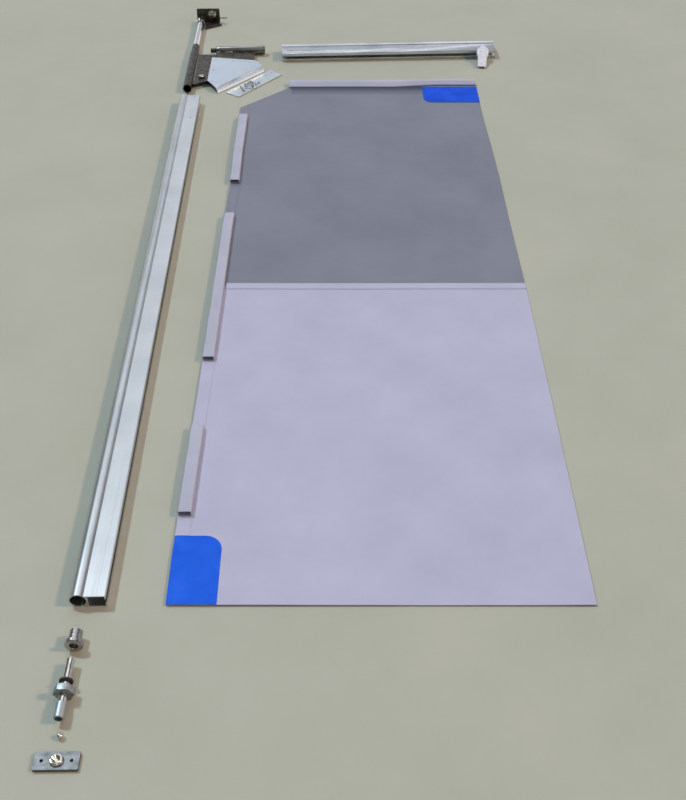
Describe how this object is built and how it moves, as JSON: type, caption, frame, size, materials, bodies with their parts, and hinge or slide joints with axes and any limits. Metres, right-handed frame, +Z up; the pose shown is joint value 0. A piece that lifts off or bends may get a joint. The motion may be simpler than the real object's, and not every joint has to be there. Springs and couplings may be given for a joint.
{
  "type": "swing door leaf kit",
  "caption": "Knocked-down flexible swing door leaf: slotted tube post and header arm, corner weldment with top pivot, curtain panel, covers and foot pivot, laid out flat.",
  "frame": {"origin": "at floor level, within 6 mm of the centre of the laid-out kit's footprint", "axes": "+Z up from the floor, +Y along the post from its foot pivot to its top pivot, +X from the post towards the leaf's free edge"},
  "size_m": [1.2414, 3.5253, 0.059],
  "materials": {
    "anodised": "satin, silver",
    "bare_steel": "dark, as welded",
    "chrome": "bright, turned",
    "steel": "turned, satin",
    "zinc": "zinc plated",
    "sheet_alloy": "smooth sheet",
    "white_plastic": "satin moulding",
    "black_rubber": "matt",
    "curtain": "flexible reinforced sheet, lavender grey",
    "curtain_window": "flexible tinted see-through sheet",
    "patch_blue": "flexible reinforcement patch, blue"
  },
  "bodies": {
    "post": {"post_extrusion": "anodised"},
    "corner": {"corner_plug_tube": "bare_steel", "corner_gusset": "bare_steel", "corner_stub_tube": "bare_steel", "corner_stub_neck": "bare_steel", "corner_gusset_bolt": "steel"},
    "top_bracket": {"pivot_shaft": "chrome", "pivot_thrust_collar": "bare_steel", "pivot_retaining_ring": "black_rubber", "bracket_socket": "chrome", "bracket_plate": "bare_steel", "bracket_web": "bare_steel", "bracket_bolt_washer": "zinc", "bracket_bolt_head": "steel", "bracket_pin": "bare_steel"},
    "header_arm": {"header_extrusion": "anodised"},
    "end_stop": {"hem_end_stop": "white_plastic"},
    "front_cover_body": {"front_cover": "sheet_alloy"},
    "back_cover_body": {"back_cover": "sheet_alloy"},
    "fixings": {"fixing_screw_1": "zinc", "fixing_screw_2": "zinc", "fixing_screw_3": "zinc", "fixing_screw_4": "zinc", "fixing_screw_5": "zinc", "fixing_screw_6": "zinc", "fixing_screw_7": "zinc", "fixing_screw_8": "zinc", "fixing_screw_9": "zinc", "fixing_nut_1": "zinc", "fixing_nut_2": "zinc", "fixing_nut_3": "zinc", "fixing_nut_4": "zinc"},
    "panel": {"curtain_lower": "curtain", "curtain_upper": "curtain_window", "curtain_lap_strip": "curtain", "edge_sleeve_1": "curtain", "edge_sleeve_2": "curtain", "edge_sleeve_3": "curtain", "hem_sleeve": "curtain", "patch_heel": "patch_blue", "patch_lead": "patch_blue"},
    "bushing": {"foot_bushing": "steel"},
    "spindle": {"spindle_rod": "chrome", "spindle_ball_socket": "zinc"},
    "washer": {"jam_washer": "black_rubber"},
    "nut": {"jam_nut": "zinc"},
    "ball": {"pivot_ball": "chrome"},
    "floor_plate_body": {"floor_plate": "steel", "floor_plate_cup": "chrome"}
  },
  "joints": [
    {"name": "corner_into_post", "type": "slide", "parent": "post", "child": "corner", "axis": [0, -1, 0], "range_m": [0, 0.104]},
    {"name": "leaf_swing", "type": "hinge", "parent": "corner", "child": "top_bracket", "pos_m": [-0.595, 1.3803, 0.019], "axis": [0, -1, 0], "range_deg": [0, 100]},
    {"name": "arm_onto_stub", "type": "slide", "parent": "corner", "child": "header_arm", "axis": [-0.9996, -0.027, 0], "range_m": [0, 0.19]},
    {"name": "stop_along_arm", "type": "slide", "parent": "header_arm", "child": "end_stop", "axis": [0.9996, 0.027, 0], "range_m": [-0.15, 0.02]},
    {"name": "front_cover_lift", "type": "slide", "parent": "corner", "child": "front_cover_body", "axis": [0, 0, 1], "range_m": [0, 0.12]},
    {"name": "back_cover_lift", "type": "slide", "parent": "corner", "child": "back_cover_body", "axis": [0, 0, 1], "range_m": [0, 0.1]},
    {"name": "fixings_lift", "type": "slide", "parent": "back_cover_body", "child": "fixings", "axis": [0, 0, 1], "range_m": [0, 0.05]},
    {"name": "panel_to_post", "type": "slide", "parent": "post", "child": "panel", "axis": [-1, 0, 0], "range_m": [0, 0.075]},
    {"name": "bushing_into_post", "type": "slide", "parent": "post", "child": "bushing", "axis": [-0.105, 0.9945, 0], "range_m": [0, 0.1047]},
    {"name": "spindle_into_bushing", "type": "slide", "parent": "bushing", "child": "spindle", "axis": [0, 1, 0], "range_m": [0, 0.08]},
    {"name": "nut_travel", "type": "slide", "parent": "spindle", "child": "washer", "axis": [0, -1, 0], "range_m": [0, 0.01]},
    {"name": "nut_spin", "type": "hinge", "parent": "washer", "child": "nut", "pos_m": [-0.584, -1.6115, 0.019], "axis": [0, -1, 0], "range_deg": [0, 1800]},
    {"name": "ball_to_socket", "type": "slide", "parent": "spindle", "child": "ball", "axis": [-0.239, 0.8406, 0.486], "range_m": [0, 0.025]},
    {"name": "floor_plate_tip", "type": "hinge", "parent": "ball", "child": "floor_plate_body", "pos_m": [-0.5752, -1.7313, 0], "axis": [-1, 0, 0], "range_deg": [0, 90]}
  ],
  "couplings": [
    {"joint": "nut_travel", "follows": "nut_spin", "m_per_rad": 0.0003183}
  ]
}
